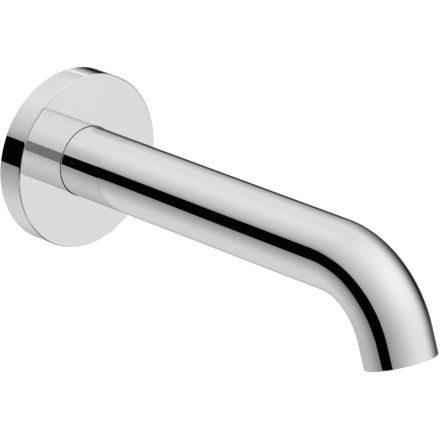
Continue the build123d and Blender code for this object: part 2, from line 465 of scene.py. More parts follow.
def turned_ring(inner, outer, low, high, rounding, columns):
    """Mesh of a ring about the Y axis, whose section is a rounded rectangle."""
    corners = [(inner, low), (outer, low), (outer, high), (inner, high)]
    return turned(rounded([(*corner, rounding) for corner in corners]), columns)[0]


def stitch(mesh, near, far):
    """Joins two closed loops of as many vertices with a band of faces."""
    for index in range(len(near)):
        corners = (near[index - 1], near[index], far[index], far[index - 1])
        corners = list(dict.fromkeys(corners))
        if len(corners) > 2:
            mesh.faces.new(corners)


def strip_between(near_line, far_line):
    """Mesh of the strip between two open lines of as many points."""
    mesh = bmesh.new()
    near = [mesh.verts.new(place) for place in near_line]
    far = [mesh.verts.new(place) for place in far_line]
    for index in range(1, len(near)):
        mesh.faces.new((near[index - 1], near[index], far[index], far[index - 1]))
    return mesh


def smooth_line(knots):
    """Points of a smooth line through knots."""
    line = []
    padded = [2 * knots[0] - knots[1], *knots, 2 * knots[-1] - knots[-2]]
    for before, start, end, after in zip(padded, padded[1:], padded[2:], padded[3:]):
        handles = start + (end - before) / 6, end - (after - start) / 6
        line += interpolate_bezier(start, *handles, end, KNOT_STEPS)[:-1]
    return line + [knots[-1]]


def press_hexagon(ring, width, limit=math.inf):
    """Moves a ring of vertices onto a hexagon given by the distance between its flats."""
    for vertex in ring:
        angle = math.atan2(vertex.co.z, vertex.co.x)
        off_flat = angle % HEXAGON_SECTOR - HEXAGON_SECTOR / 2
        radius = min(width / 2 / math.cos(off_flat), limit)
        vertex.co.x = radius * math.cos(angle)
        vertex.co.z = radius * math.sin(angle)


def new_piece(name, mesh, finish):
    """Object at the origin from a finished mesh, smooth but for its real edges."""
    bmesh.ops.recalc_face_normals(mesh, faces=mesh.faces)
    data = bpy.data.meshes.new(name)
    mesh.to_mesh(data)
    mesh.free()
    data.materials.append(finish)
    piece = bpy.data.objects.new(name, data)
    bpy.context.scene.collection.objects.link(piece)
    smooth(piece)
    return piece


def smooth(piece):
    """Smooth shading that keeps the edges sharper than the sharp angle."""
    piece.data.shade_smooth()
    piece.data.set_sharp_from_angle(angle=SHARP_ANGLE)


def joined(piece, other):
    """Adds the faces of another piece to a piece and deletes the other."""
    mesh = bmesh.new()
    mesh.from_mesh(piece.data)
    mesh.from_mesh(other.data)
    mesh.to_mesh(piece.data)
    mesh.free()
    discard = other.data
    bpy.data.objects.remove(other)
    bpy.data.meshes.remove(discard)
    return piece


def stand_for(piece, node):
    """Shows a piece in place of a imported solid, after a test that it keeps inside the solid's box."""
    low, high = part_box(node)
    for vertex in piece.data.vertices:
        for axis in range(3):
            outside = max(low[axis] - vertex.co[axis], vertex.co[axis] - high[axis])
            if outside > TOLERANCE:
                raise RuntimeError(f"{piece.name} leaves the box of {node} by {outside / MM:.3f} mm")
    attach(piece, BODY)
    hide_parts(node)


# Node trees

class Result:
    """Output of a node, with arithmetic that lays out Math nodes."""

    def __init__(self, desk, socket):
        self.desk = desk
        self.socket = socket

    def __add__(self, other):
        return self.desk.math("ADD", self, other)

    def __sub__(self, other):
        return self.desk.math("SUBTRACT", self, other)

    def __rsub__(self, other):
        return self.desk.math("SUBTRACT", other, self)

    def __mul__(self, other):
        return self.desk.math("MULTIPLY", self, other)

    def __truediv__(self, other):
        return self.desk.math("DIVIDE", self, other)

    def __rtruediv__(self, other):
        return self.desk.math("DIVIDE", other, self)

    def __neg__(self):
        return self * -1.0

    def __abs__(self):
        return self.desk.math("ABSOLUTE", self)

    __radd__ = __add__


class Desk:
    """Lays out the nodes of one tree."""

    def __init__(self, tree):
        self.tree = tree

    def add(self, kind, inputs=None, **values):
        """New node with its settings, and with inputs given by name or place."""
        node = self.tree.nodes.new(kind)
        for name, value in values.items():
            setattr(node, name, value)
        for name, value in (inputs or {}).items():
            self.feed(node.inputs[name], value)
        return node

    def feed(self, socket, value):
        """Links a result to an input, or sets the input's own value."""
        if isinstance(value, Result):
            self.tree.links.new(value.socket, socket)
        else:
            socket.default_value = value

    def made(self, kind, inputs=None, output=0, **values):
        """One result of a new node."""
        return Result(self, self.add(kind, inputs, **values).outputs[output])

    def results(self, kind, inputs=None, **values):
        """Results of a new node by name."""
        return {socket.name: Result(self, socket) for socket in self.add(kind, inputs, **values).outputs}

    def math(self, operation, *values):
        """Result of a Math node."""
        return self.made("ShaderNodeMath", dict(enumerate(values)), operation=operation)

    def counted(self, value, count):
        """1 where a whole number is the count, else 0."""
        return self.math("COMPARE", value, count, 0.5)

    def eased(self, value, start, end):
        """Eased ramp from 0 at start to 1 at end."""
        limits = {"Value": value, "From Min": start, "From Max": end}
        return self.made("ShaderNodeMapRange", limits, interpolation_type="SMOOTHSTEP")

    def stepped(self, value, level, steps):
        """Level that changes by eased steps, given as (start, end, rise)."""
        for start, end, rise in steps:
            level = level + self.eased(value, start, end) * rise
        return level

    def between(self, factor, first, second):
        """Number between two others."""
        return self.made("ShaderNodeMapRange", {"Value": factor, "To Min": first, "To Max": second})

    def blend(self, factor, first, second):
        """Colour between two opaque ones."""
        inputs = {0: factor, 6: (*first, 1.0), 7: (*second, 1.0)}
        return self.made("ShaderNodeMix", inputs, 2, data_type="RGBA")

    def parts(self, vector):
        """X, Y and Z of a vector."""
        parts = self.results("ShaderNodeSeparateXYZ", {0: vector})
        return parts["X"], parts["Y"], parts["Z"]

    def vector(self, x, y, z):
        """Vector from three numbers."""
        return self.made("ShaderNodeCombineXYZ", {"X": x, "Y": y, "Z": z})

    def on_object(self):
        """Place on the object, in its own frame."""
        return self.made("ShaderNodeTexCoord", output="Object")

    def noise(self, size, detail):
        """Noise on the object, with grains of the given size."""
        inputs = {"Vector": self.on_object(), "Scale": 1.0 / size, "Detail": detail}
        return self.made("ShaderNodeTexNoise", inputs)

    def together(self, *geometries):
        """Geometries joined into one."""
        node = self.add("GeometryNodeJoinGeometry")
        for geometry in geometries:
            self.feed(node.inputs[0], geometry)
        return Result(self, node.outputs[0])


def add_sockets(tree, in_out, sockets):
    """Interface sockets of a tree from (name, kind) or (name, kind, default)."""
    for name, kind, *default in sockets:
        socket = tree.interface.new_socket(name, in_out=in_out, socket_type="NodeSocket" + kind)
        if default:
            socket.default_value = default[0]


def new_group(name, tree_kind, inputs, outputs):
    """New node group: the tree, its desk, what it is given and the inputs of its end."""
    tree = bpy.data.node_groups.new(name, tree_kind)
    add_sockets(tree, "INPUT", inputs)
    add_sockets(tree, "OUTPUT", outputs)
    desk = Desk(tree)
    return tree, desk, desk.results("NodeGroupInput"), desk.add("NodeGroupOutput").inputs


def new_shaper(name, sizes, counts=()):
    """New geometry tree, whose inputs are a mesh, sizes and counts by name, and a finish."""
    inputs = [("Geometry", "Geometry")]
    inputs += [(size, "Float") for size in sizes]
    inputs += [(count, "Int") for count in counts]
    inputs.append(("Finish", "Material"))
    return new_group(name, "GeometryNodeTree", inputs, [("Geometry", "Geometry")])


def new_shader_group(name, inputs, outputs):
    """New shader group of plain numbers, with the inputs' defaults by name."""
    inputs = [(socket, "Float", default) for socket, default in inputs.items()]
    return new_group(name, "ShaderNodeTree", inputs, [(socket, "Float") for socket in outputs])


def close_shaper(desk, geometry, given, result):
    """Ends a geometry tree with Realize Instances and Set Material."""
    real = desk.made("GeometryNodeRealizeInstances", {"Geometry": geometry})
    finished = desk.made("GeometryNodeSetMaterial", {"Geometry": real, "Material": given["Finish"]})
    desk.feed(result["Geometry"], finished)


def bend_tree(name):
    """Geometry tree that bends a straight turned tube along the spout's centreline."""
    tree, desk, given, result = new_shaper(name, ("Reach", "Bend radius", "Bend angle"))
    reach, bend_radius = given["Reach"], given["Bend radius"]
    x, y, z = desk.parts(desk.made("GeometryNodeInputPosition"))
    travel = -y
    past = desk.math("MAXIMUM", travel - reach, 0.0)
    angle = desk.math("MINIMUM", past / bend_radius, given["Bend angle"])
    left = past - angle * bend_radius
    orbit = bend_radius + z
    sine, cosine = desk.math("SINE", angle), desk.math("COSINE", angle)
    forward = orbit * sine + desk.math("MINIMUM", travel, reach) + left * cosine
    height = orbit * cosine - bend_radius - left * sine
    place = desk.vector(x, -forward, height)
    bent = desk.made("GeometryNodeSetPosition", {"Geometry": given["Geometry"], "Position": place})
    close_shaper(desk, bent, given, result)
    return tree


def thread_tree(name):
    """Geometry tree that cuts a right-handed thread into a fine cylinder about the Y axis."""
    sizes = ("Crest radius", "Pitch", "Depth", "Start", "End", "Run-out")
    tree, desk, given, result = new_shaper(name, sizes)
    x, y, z = desk.parts(desk.made("GeometryNodeInputPosition"))
    radius = desk.math("SQRT", x * x + z * z)
    turns = desk.math("ARCTAN2", x, z) / (2 * math.pi)
    phase = desk.math("FRACT", y / given["Pitch"] - turns)
    groove = desk.eased(abs(phase * 2.0 - 1.0), 1.0 - THREAD_FLAT, THREAD_FLAT)
    begun = desk.eased(y, given["Start"], given["Start"] + given["Run-out"])
    ended = desk.eased(y, given["End"], given["End"] - given["Run-out"])
    on_crest = desk.math("COMPARE", radius, given["Crest radius"], TOLERANCE)
    cut = groove * begun * ended * given["Depth"] * on_crest
    shrink = 1.0 - cut / desk.math("MAXIMUM", radius, SAME_PLACE)
    place = desk.vector(x * shrink, y, z * shrink)
    grooved = desk.made("GeometryNodeSetPosition", {"Geometry": given["Geometry"], "Position": place})
    close_shaper(desk, grooved, given, result)
    return tree


def cell_points(desk, given):
    """Middles of the honeycomb's cells, in rows that fill the plate."""
    rows, pitch = given["Rows"], given["Pitch"]
    index = desk.made("GeometryNodeInputIndex")
    middle = (rows - 1.0) / 2.0
    level = desk.math("FLOOR", index / rows) - middle
    column = desk.math("FLOORED_MODULO", index, rows) - middle
    stagger = desk.math("FLOORED_MODULO", level, 2.0) * 0.5
    place = desk.vector((column + stagger) * pitch, level * pitch * HEXAGON_ROW, 0.0)
    points = desk.made("GeometryNodePoints", {"Count": rows * rows, "Position": place})
    position = desk.made("GeometryNodeInputPosition")
    spread = desk.made("ShaderNodeVectorMath", {0: position}, "Value", operation="LENGTH")
    outside = desk.math("GREATER_THAN", spread, given["Plate radius"] - pitch / 2.0)
    return desk.made("GeometryNodeDeleteGeometry", {"Geometry": points, "Selection": outside})


def honeycomb_tree(name):
    """Geometry tree for a round plate with hexagonal cells, which rises along Z from its lower face."""
    tree, desk, given, result = new_shaper(name, ("Plate radius", "Thickness", "Pitch", "Web"), ("Rows",))
    circle = "GeometryNodeCurvePrimitiveCircle"
    corner = (given["Pitch"] - given["Web"]) / math.sqrt(3)
    cell = desk.made(circle, {"Resolution": HEXAGON_SIDES, "Radius": corner})
    cell_turn = (0.0, 0.0, HEXAGON_SECTOR / 2)
    spread = {"Points": cell_points(desk, given), "Instance": cell, "Rotation": cell_turn}
    cells = desk.made("GeometryNodeInstanceOnPoints", spread)
    cells = desk.made("GeometryNodeRealizeInstances", {"Geometry": cells})
    edge = desk.made(circle, {"Resolution": PLATE_COLUMNS, "Radius": given["Plate radius"]})
    face = desk.made("GeometryNodeFillCurve", {"Curve": desk.together(cells, edge)})
    rise = {"Mesh": face, "Offset": (0.0, 0.0, 1.0), "Offset Scale": given["Thickness"], "Individual": False}
    walls = desk.made("GeometryNodeExtrudeMesh", rise)
    plate = desk.together(walls, desk.made("GeometryNodeFlipFaces", {"Mesh": face}))
    welded = desk.made("GeometryNodeMergeByDistance", {"Geometry": plate, "Distance": SAME_PLACE})
    close_shaper(desk, welded, given, result)
    return tree


def polish_group(name):
    """Faint haze and fine relief that a polished metal keeps."""
    sizes = {"Haze size": 30 * MM, "Relief size": 0.6 * MM}
    tree, desk, given, result = new_shader_group(name, sizes, ("Mask", "Height"))
    desk.feed(result["Mask"], desk.eased(desk.noise(given["Haze size"], detail=4.0), *POLISH_RANGE))
    desk.feed(result["Height"], desk.noise(given["Relief size"], detail=2.0))
    return tree


def turning_group(name):
    """Fine rings that a lathe tool leaves along the Y axis, and patches of wear."""
    sizes = {"Ring spacing": 0.3 * MM, "Patch size": 6 * MM}
    tree, desk, given, result = new_shader_group(name, sizes, ("Mask", "Height"))
    along = desk.parts(desk.on_object())[1]
    rings = {"W": along / given["Ring spacing"], "Scale": 1.0, "Detail": 2.0}
    desk.feed(result["Mask"], desk.eased(desk.noise(given["Patch size"], detail=5.0), *WEAR_RANGE))
    desk.feed(result["Height"], desk.made("ShaderNodeTexNoise", rings, noise_dimensions="1D"))
    return tree


def grain_group(name):
    """Fine uneven skin of moulded plastic and rubber, with pale clouds."""
    sizes = {"Grain size": 0.8 * MM, "Cloud size": 8 * MM}
    tree, desk, given, result = new_shader_group(name, sizes, ("Mask", "Height"))
    desk.feed(result["Mask"], desk.eased(desk.noise(given["Cloud size"], detail=3.0), *CLOUD_RANGE))
    desk.feed(result["Height"], desk.noise(given["Grain size"], detail=3.0))
    return tree


def card_group(name):
    """Soft oval card in the studio's surroundings, placed by direction."""
    angles = ("Azimuth", "Elevation", "Middle azimuth", "Middle elevation")
    inputs = dict.fromkeys(angles, 0.0) | dict.fromkeys(("Half width", "Half height", "Softness"), 1.0)
    tree, desk, given, result = new_shader_group(name, inputs, ("Share",))
    aside = abs(desk.math("WRAP", given["Azimuth"] - given["Middle azimuth"], math.pi, -math.pi))
    below_zenith = desk.eased(given["Elevation"], math.pi / 2, ZENITH_EDGE)
    aside = desk.between(below_zenith, ZENITH_TURN, aside) / given["Half width"]
    above = (given["Elevation"] - given["Middle elevation"]) / given["Half height"]
    spread = desk.math("SQRT", aside * aside + above * above)
    desk.feed(result["Share"], desk.eased(spread, 1.0, 1.0 - given["Softness"]))
    return tree


TREES = {
    "bend_along_spout": bend_tree,
    "cut_thread": thread_tree,
    "honeycomb_floor": honeycomb_tree,
    "fine_polish": polish_group,
    "turning_marks": turning_group,
    "moulded_grain": grain_group,
    "studio_card": card_group,
}


def tree_of(name):
    """Node tree of that name, built at its first use."""
    return bpy.data.node_groups.get(name) or TREES[name](name)


def shaped(piece, tree_name, values):
    """Passes a piece through a geometry tree with these named inputs and keeps the result as a plain mesh."""
    tree = tree_of(tree_name)
    modifier = piece.modifiers.new(tree_name, "NODES")
    modifier.node_group = tree
    for item in tree.interface.items_tree:
        if item.in_out == "INPUT" and item.name in values:
            modifier[item.identifier] = values[item.name]
    graph = bpy.context.evaluated_depsgraph_get()
    data = bpy.data.meshes.new_from_object(piece.evaluated_get(graph))
    piece.modifiers.remove(modifier)
    discard = piece.data
    piece.data = data
    bpy.data.meshes.remove(discard)
    data.name = piece.name
    smooth(piece)


def threaded(piece, sizes, crest_radius, start, end, finish):
    """Cuts a thread of these sizes into a piece."""
    values = {"Crest radius": crest_radius, "Pitch": sizes.pitch, "Depth": sizes.thread_depth}
    values |= {"Start": start, "End": end, "Run-out": sizes.pitch, "Finish": finish}
    shaped(piece, "cut_thread", values)


# Materials

def new_finish(name):
    """New material with the desk of its tree and its Principled shader's inputs."""
    finish = bpy.data.materials.new(name)
    finish.use_nodes = True
    finish.node_tree.nodes.clear()
    desk = Desk(finish.node_tree)
    shader = desk.add("ShaderNodeBsdfPrincipled")
    desk.add("ShaderNodeOutputMaterial", {"Surface": Result(desk, shader.outputs["BSDF"])})
    return finish, desk, shader.inputs


def patterned(name, group, sizes, colours, roughness, strength, depth, metallic=0.0):
    """Material whose colour and roughness follow a group's mask, and whose relief follows its height."""
    finish, desk, shader = new_finish(name)
    pattern = desk.results("ShaderNodeGroup", sizes, node_tree=tree_of(group))
    bump = {"Height": pattern["Height"], "Strength": strength, "Distance": depth}
    desk.feed(shader["Base Color"], desk.blend(pattern["Mask"], *colours))
    desk.feed(shader["Roughness"], desk.between(pattern["Mask"], *roughness))
    desk.feed(shader["Normal"], desk.made("ShaderNodeBump", bump))
    shader["Metallic"].default_value = metallic
    return finish


def chrome_finish(name):
    """Polished chrome plating."""
    colours = settings("colours")
    return patterned(
        name,
        group="fine_polish",
        sizes={"Haze size": 45 * MM, "Relief size": 0.9 * MM},
        colours=(colours.chrome, colours.chrome_haze),
        roughness=(0.012, 0.035),
        strength=0.02,
        depth=0.01 * MM,
        metallic=1.0,
    )


def brass_finish(name):
    """Bare turned brass."""
    colours = settings("colours")
    return patterned(
        name,
        group="turning_marks",
        sizes={"Ring spacing": 0.35 * MM, "Patch size": 7 * MM},
        colours=(colours.brass, colours.brass_dull),
        roughness=(0.22, 0.42),
        strength=0.35,
        depth=0.06 * MM,
        metallic=1.0,
    )


def steel_finish(name):
    """Bare stainless steel."""
    colours = settings("colours")
    return patterned(
        name,
        group="turning_marks",
        sizes={"Ring spacing": 0.2 * MM, "Patch size": 3 * MM},
        colours=(colours.steel, colours.steel_dull),
        roughness=(0.25, 0.4),
        strength=0.3,
        depth=0.04 * MM,
        metallic=1.0,
    )


def moulded(name, colours, roughness, depth):
    """Moulded plastic or rubber with a fine skin."""
    sizes = {"Grain size": 0.7 * MM, "Cloud size": 6 * MM}
    return patterned(name, "moulded_grain", sizes, colours, roughness, strength=0.4, depth=depth)


def rubber_finish(name):
    """Matt black rubber."""
    colours = settings("colours")
    return moulded(name, (colours.rubber, colours.rubber_bloom), roughness=(0.55, 0.75), depth=0.05 * MM)


def housing_finish(name):
    """Grey moulded plastic."""
    colours = settings("colours")
    return moulded(name, (colours.housing, colours.housing_light), roughness=(0.3, 0.42), depth=0.02 * MM)


def strainer_finish(name):
    """White moulded plastic."""
    colours = settings("colours")
    return moulded(name, (colours.strainer, colours.strainer_light), roughness=(0.4, 0.55), depth=0.02 * MM)


def floor_finish(name):
    """Pale studio floor that reads white to the camera and keeps soft shadows."""
    finish, desk, shader = new_finish(name)
    shader["Base Color"].default_value = (*settings("colours").floor, 1.0)
    shader["Roughness"].default_value = 0.9
    shader["Emission Color"].default_value = WHITE
    seen = desk.made("ShaderNodeLightPath", output="Is Camera Ray")
    desk.feed(shader["Emission Strength"], seen * settings("studio").floor_glow)
    return finish


FINISHES = {
    "polished_chrome": chrome_finish,
    "turned_brass": brass_finish,
    "bare_steel": steel_finish,
    "black_rubber": rubber_finish,
    "grey_plastic": housing_finish,
    "white_plastic": strainer_finish,
    "pale_floor": floor_finish,
}


def finish_of(name):
    """Material of that name, made at its first use."""
    return bpy.data.materials.get(name) or FINISHES[name](name)


# Cloths of the studio

class Cloth:
    """Dark cloth or glowing sheet that shows only to rays which the metal has mirrored a given number of
    times, so it paints shade or light only into the metal's reflections.
    """

    def __init__(self, name, mirrored):
        self.finish, self.desk, self.shader = new_finish(name)
        self.shader["Base Color"].default_value = (*settings("colours").flag, 1.0)
        self.shader["Roughness"].default_value = 1.0
        self.shader["Specular IOR Level"].default_value = 0.0
        self.shader["Emission Color"].default_value = WHITE
        self.path = self.desk.results("ShaderNodeLightPath")
        self.seen = self.desk.counted(self.path["Ray Depth"], mirrored)
        self.desk.feed(self.shader["Alpha"], self.seen)

    def thin(self, cover):
        """Lets the cloth cover only a share of what lies behind it."""
        self.desk.feed(self.shader["Alpha"], self.seen * cover)

    def glow(self, brightness):
        """Gives the cloth a brightness of its own."""
        self.desk.feed(self.shader["Emission Strength"], brightness)

    def height(self):
        """Height on the cloth in millimetres."""
        return self.desk.parts(self.desk.on_object())[2] / MM

    def hang(self, mesh):
        """Hangs the cloth where only mirror images show it."""
        cloth = new_piece(self.finish.name, mesh, self.finish)
        cloth.visible_camera = False
        cloth.visible_shadow = False
        cloth.visible_diffuse = False


def in_studio(across, along, height):
    """Point from millimetres."""
    return Vector((across, along, height)) * MM


def upright(distance, rows):
    """Mesh of an upright cloth on the left, through rows of (along, lower height, upper height)."""
    lower = [in_studio(-distance, along, low) for along, low, _ in rows]
    upper = [in_studio(-distance, along, high) for along, _, high in rows]
    return strip_between(lower, upper)


def hang_left_flags():
    """Dark flags on the left: two for rays mirrored once and one for rays mirrored twice."""
    lower = [in_studio(-LEFT_FLAG_DISTANCE, *knot) for knot in LEFT_FLAG_LOWER]
    upper = [in_studio(-LEFT_FLAG_DISTANCE, *knot) for knot in LEFT_FLAG_UPPER]
    Cloth("left_flag", ONCE).hang(strip_between(smooth_line(lower), smooth_line(upper)))
    Cloth("rim_flag", ONCE).hang(upright(LEFT_FLAG_DISTANCE, RIM_FLAG_ROWS))
    Cloth("mirror_flag", TWICE).hang(upright(MIRROR_FLAG_DISTANCE, MIRROR_FLAG_ROWS))


def hang_right_flag():
    """Flag for twice-mirrored rays, which grows paler towards its top."""
    front = [in_studio(RIGHT_FLAG_DISTANCE, *knot) for knot in RIGHT_FLAG_FRONT]
    back = [in_studio(RIGHT_FLAG_DISTANCE, RIGHT_FLAG_BACK, height) for _, height in RIGHT_FLAG_FRONT]
    cloth = Cloth("right_flag", TWICE)
    cloth.glow(cloth.desk.stepped(cloth.height(), RIGHT_FLAG_GLOW, RIGHT_FLAG_STEPS))
    cloth.hang(strip_between(front, back))


def hang_rim_light():
    """Soft pale card behind the rosette, for the streak on its rim."""
    low, full, fading, high = RIM_LIGHT_HEIGHTS
    lines = []
    for across in RIM_LIGHT_SIDES:
        lines.append([in_studio(across, RIM_LIGHT_ALONG, height) for height in (low, high)])
    cloth = Cloth("rim_light", ONCE)
    desk, height = cloth.desk, cloth.height()
    cloth.thin(desk.eased(height, low, full) * desk.eased(height, high, fading))
    cloth.glow(RIM_LIGHT_GLOW)
    cloth.hang(strip_between(*lines))


def hang_edge_flag():
    """Half-clear flag by the rosette's front edge, which only what lies close to it mirrors."""
    rosette = settings("rosette")
    angles = [math.radians(angle) for angle in EDGE_FLAG_ANGLES]
    lines = []
    for outwards, forwards in EDGE_FLAG_SIDES:
        radius, along = rosette.radius + outwards * MM, rosette.front - forwards * MM
        lines.append([(-radius * math.cos(angle), along, radius * math.sin(angle)) for angle in angles])
    cloth = Cloth("edge_flag", ONCE)
    near = cloth.desk.math("LESS_THAN", cloth.path["Ray Length"], EDGE_FLAG_REACH * MM)
    cloth.thin(near * EDGE_FLAG_COVER)
    cloth.hang(strip_between(*lines))


def hang_painted_sheet():
    """Thin glowing sheet round the arm's root, which dims the image of the arm in the rosette and paints
    light and shade onto it.
    """
    radius = settings("spout_body").radius + PAINTED_SHEET_GAP * MM
    back = settings("rosette").front - PAINTED_SHEET_GAP * MM
    cloth = Cloth("arm_painted_sheet", TWICE)
    desk = cloth.desk
    x, _, z = desk.parts(desk.on_object())
    angle = desk.math("DEGREES", desk.math("ARCTAN2", z, -x))
    # Painted shade by the cover and painted light by the glow, in the rosette's mirror image of the arm
    cloth.thin(PAINTED_SHEET_COVER)
    cloth.glow(desk.stepped(angle, PAINTED_SHEET_GLOW, PAINTED_SHEET_STEPS))
    mesh, _ = turned([(radius, back), (radius, back - PAINTED_SHEET_LENGTH * MM)], BODY_COLUMNS, closed=False)
    cloth.hang(mesh)


# Surroundings of the studio

class Surroundings:
    """Places soft cards round the studio by direction."""

    def __init__(self, desk):
        self.desk = desk
        x, y, z = desk.parts(desk.made("ShaderNodeTexCoord", output="Generated"))
        self.azimuth = desk.math("ARCTAN2", x, -y)
        self.elevation = desk.math("ARCSINE", z)

    def share(self, card):
        """How much of a card lies in the direction looked at."""
        inputs = {
            "Azimuth": self.azimuth,
            "Elevation": self.elevation,
            "Middle azimuth": math.radians(card.azimuth),
            "Middle elevation": math.radians(card.elevation),
            "Half width": math.radians(card.half_width),
            "Half height": math.radians(card.half_height),
            "Softness": card.softness,
        }
        return self.desk.made("ShaderNodeGroup", inputs, "Share", node_tree=tree_of("studio_card"))

    def shaded(self, light, cards):
        """Light behind dark cards."""
        for card in cards:
            light = light * (1.0 - self.share(card) * card.strength)
        return light

    def lit(self, light, cards):
        """Light with bright cards added."""
        for card in cards:
            light = light + self.share(card) * card.strength
        return light


def build_world(scene, studio):
    """White studio by direction, with a soft key light, shaded sides and a pale ground."""
    world = bpy.data.worlds.new("studio")
    world.use_nodes = True
    world.node_tree.nodes.clear()
    scene.world = world
    desk = Desk(world.node_tree)
    around = Surroundings(desk)
    light = around.lit(studio.sky, KEY_LIGHTS)
    light = around.shaded(light, LEFT_SHADES)
    light = around.lit(light, LEFT_LIGHTS)
    below = desk.eased(around.elevation, studio.ground_top, studio.ground_full)
    light = desk.between(below, light, studio.ground)
    light = around.shaded(light, SHADES)
    light = around.lit(light, LIGHTS)
    path = desk.results("ShaderNodeLightPath")
    twice_lit = around.lit(around.shaded(light, TWICE_SHADES), TWICE_LIGHTS)
    # The world counts a ray's way out as a further step
    mirrored_twice = desk.counted(path["Ray Depth"], TWICE + 1)
    light = desk.between(mirrored_twice, light, twice_lit)
    light = desk.math("MAXIMUM", light, path["Is Camera Ray"])
    mirrored = desk.made("ShaderNodeBackground", {"Color": light})
    ambient = desk.made("ShaderNodeBackground", {"Strength": studio.ambient, "Color": WHITE})
    direct = desk.math("MAXIMUM", path["Is Camera Ray"], path["Is Glossy Ray"])
    direct = desk.math("MAXIMUM", direct, path["Is Transmission Ray"])
    mix = desk.made("ShaderNodeMixShader", {0: direct, 1: ambient, 2: mirrored})
    desk.add("ShaderNodeOutputWorld", {"Surface": mix})


# Places along the spout

def arm_length(sizes):
    """Length of the centreline from the wall to the outlet's face."""
    return sizes.reach + sizes.bend_radius * sizes.bend_angle + sizes.outlet_length


def at_outlet(sizes):
    """Matrix of the outlet's own frame, whose Y axis runs upstream from the middle of its face."""
    forward = sizes.reach + sizes.bend_radius * math.sin(sizes.bend_angle)
    forward += sizes.outlet_length * math.cos(sizes.bend_angle)
    drop = sizes.bend_radius * (1 - math.cos(sizes.bend_angle))
    drop += sizes.outlet_length * math.sin(sizes.bend_angle)
    return Matrix.Translation((0, -forward, -drop)) @ Matrix.Rotation(sizes.bend_angle, 4, "X")


# Screw hole through the body's wall

class ScrewHole:
    """Round hole from below through a turned wall, cut into patches of the wall's own grid."""

    # Half the patch in cells, and shares of the way from its border to the hole
    half_cells = 8
    steps = (0.3, 0.6, 0.85, 1.0)

    def __init__(self, along, radius, wall_radius):
        self.along = along
        self.radius = radius
        cell = 2 * math.pi * wall_radius / BODY_COLUMNS
        self.rows = [along + cell * step for step in range(-self.half_cells, self.half_cells + 1)]

    def grid(self, rings, outline, wall_radius):
        """The patch's vertices by row and column on the wall of that radius."""
        low, high = self.rows[0] - SAME_PLACE, self.rows[-1] + SAME_PLACE
        picked = [ring for ring, place in zip(rings, outline)
                  if abs(place.x - wall_radius) < SAME_PLACE and low <= place.y <= high]
        picked.sort(key=lambda ring: ring[0].co.y)
        bottom = BODY_COLUMNS * 3 // 4
        return [ring[bottom - self.half_cells:bottom + self.half_cells + 1] for ring in picked]

    def edge(self, radius, wall_radius, angle, sink=0.0):
        """Point of a round hole's edge on a wall, sunk a little into it."""
        x = radius * math.cos(angle)
        return Vector((x, self.along + radius * math.sin(angle), sink - math.sqrt(wall_radius ** 2 - x ** 2)))

    def cut(self, mesh, rings, outline, wall_radius, radius):
        """Opens the wall and returns the vertices round the hole with their angles."""
        grid = self.grid(rings, outline, wall_radius)
        last = len(grid) - 1
        path = [(0, column) for column in range(last)] + [(row, last) for row in range(last)]
        path += [(last, column) for column in range(last, 0, -1)] + [(row, 0) for row in range(last, 0, -1)]
        near = [grid[row][column] for row, column in path]
        angles = [math.atan2(row - last / 2, column - last / 2) for row, column in path]
        inner = [vertex for row in grid[1:-1] for vertex in row[1:-1]]
        bmesh.ops.delete(mesh, geom=inner, context="VERTS")
        starts = [vertex.co.copy() for vertex in near]
        for step in self.steps:
            loop = []
            for start, angle in zip(starts, angles):
                place = start.lerp(self.edge(radius, wall_radius, angle), step)
                place.z = -math.sqrt(wall_radius ** 2 - place.x ** 2)
                loop.append(mesh.verts.new(place))
            stitch(mesh, near, loop)
            near = loop
        return near, angles


# Operators

class BATHSPOUT_OT_body(Operator):
    """Turn, drill and bend the hollow chrome body"""

    bl_idname = "bath_spout.body"
    bl_label = "Spout body"

    def outline(self, sizes):
        """Section of the straight body, from the tail's outside round the outlet to the tail's inside."""
        end = -arm_length(sizes)
        ledge = end + sizes.seat_depth
        groove_radius = REAR_SEAL_HIGH.x
        corners = [
            (sizes.radius, sizes.tail, sizes.tail_rounding),
            (sizes.radius, end, sizes.outlet_rounding),
            (sizes.seat_radius, end, sizes.mouth_rounding),
            (sizes.seat_radius, ledge, 0),
            (sizes.bore_radius, ledge, sizes.mouth_rounding),
        ]
        for low, high in ((FRONT_SEAL_LOW.y, FRONT_SEAL_HIGH.y), (REAR_SEAL_LOW.y, REAR_SEAL_HIGH.y)):
            front, back = low - sizes.groove_side, high + sizes.groove_side
            corners += [
                (sizes.bore_radius, front, sizes.groove_rounding),
                (groove_radius, front, sizes.groove_rounding),
                (groove_radius, back, sizes.groove_rounding),
                (sizes.bore_radius, back, sizes.groove_rounding),
            ]
        corners.append((sizes.bore_radius, sizes.tail, sizes.tail_rounding))
        return rounded(corners)

    def execute(self, context):
        sizes = settings("spout_body")
        finish = finish_of("polished_chrome")
        hole = ScrewHole(SCREW_ALONG, sizes.screw_hole_radius, sizes.radius)
        bend_end = sizes.reach + sizes.bend_radius * sizes.bend_angle
        outline = with_rows(self.outline(sizes), hole.rows + spaced(-sizes.reach, -bend_end, BEND_STEP))
        mesh, rings = turned(outline, BODY_COLUMNS)
        mouth = sizes.screw_hole_radius + sizes.screw_hole_chamfer
        outer, angles = hole.cut(mesh, rings, outline, sizes.radius, mouth)
        inner, _ = hole.cut(mesh, rings, outline, sizes.bore_radius, sizes.screw_hole_radius)
        sunk = [hole.edge(hole.radius, sizes.radius, angle, sizes.screw_hole_chamfer) for angle in angles]
        throat = [mesh.verts.new(place) for place in sunk]
        stitch(mesh, outer, throat)
        stitch(mesh, throat, inner)
        piece = new_piece("spout_body_polished", mesh, finish)
        values = {"Reach": sizes.reach, "Bend radius": sizes.bend_radius, "Bend angle": sizes.bend_angle}
        shaped(piece, "bend_along_spout", {**values, "Finish": finish})
        stand_for(piece, "spout_body")
        return {"FINISHED"}


